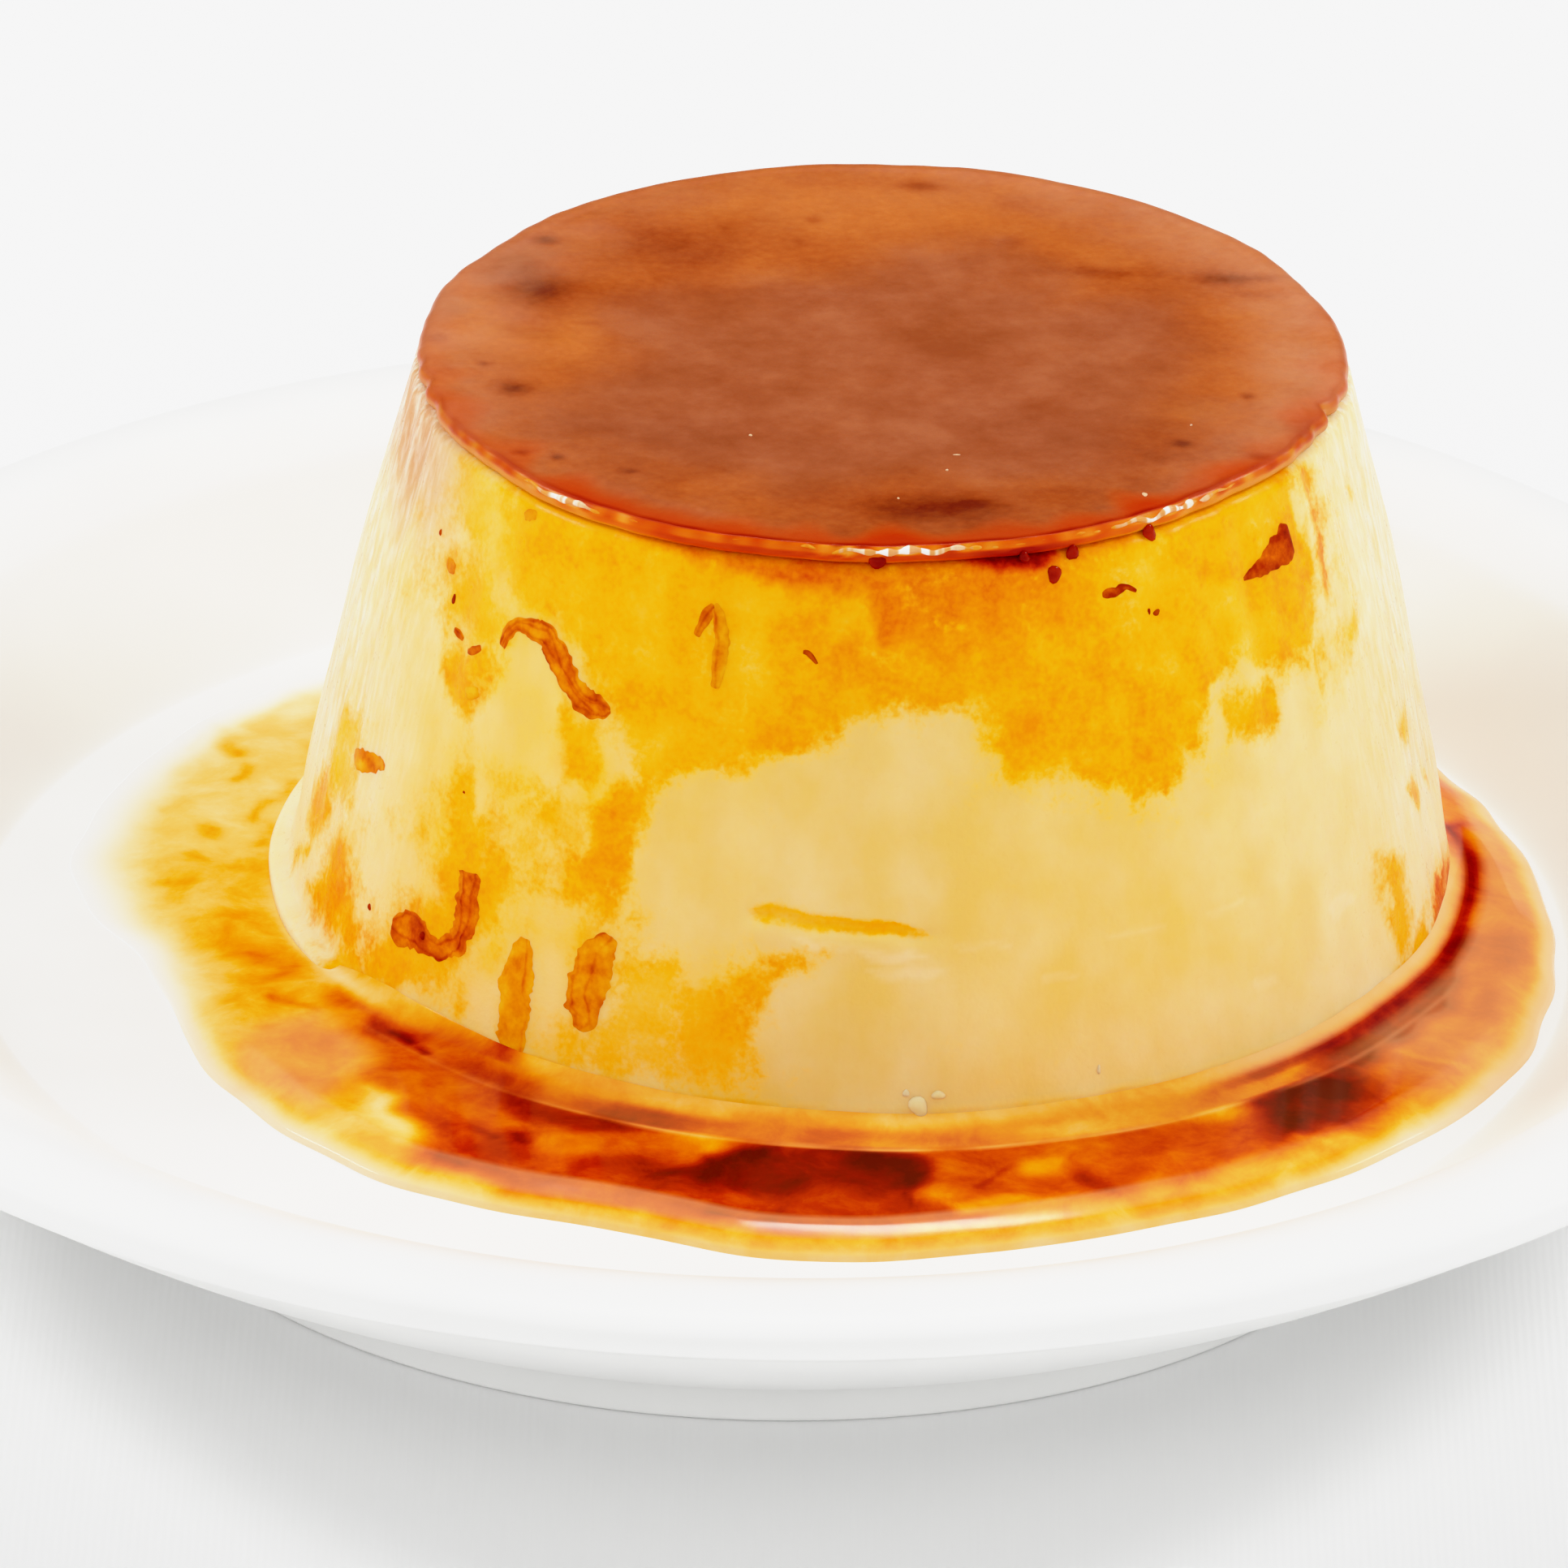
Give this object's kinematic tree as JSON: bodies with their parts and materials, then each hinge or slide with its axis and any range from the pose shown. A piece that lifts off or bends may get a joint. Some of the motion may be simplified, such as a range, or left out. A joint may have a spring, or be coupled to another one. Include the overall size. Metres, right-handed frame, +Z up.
{
  "type": "caramel pudding",
  "caption": "Unmoulded caramel pudding: a flat-topped cone of set custard with a caramel skin on top, standing in a pool of caramel sauce on a plain white porcelain saucer.",
  "frame": {"origin": "centre of the saucer's foot ring, on the surface it stands on", "axes": "+Z up, -Y towards the front from which the pudding is seen, +X to the right seen from the front"},
  "size_m": [0.1416, 0.1416, 0.0493],
  "materials": {
    "porcelain": "smooth clear-glazed white porcelain",
    "custard": "moist set egg custard, translucent, stained with amber syrup",
    "caramel_skin": "wet caramel-soaked skin, satin gloss, cloudy brown",
    "caramel_syrup": "clear glossy caramel syrup, red-brown where deep and golden where thin"
  },
  "bodies": {
    "root": {"saucer": "porcelain", "custard": "custard", "caramel_top": "caramel_skin", "caramel_sauce": "caramel_syrup"}
  },
  "joints": []
}
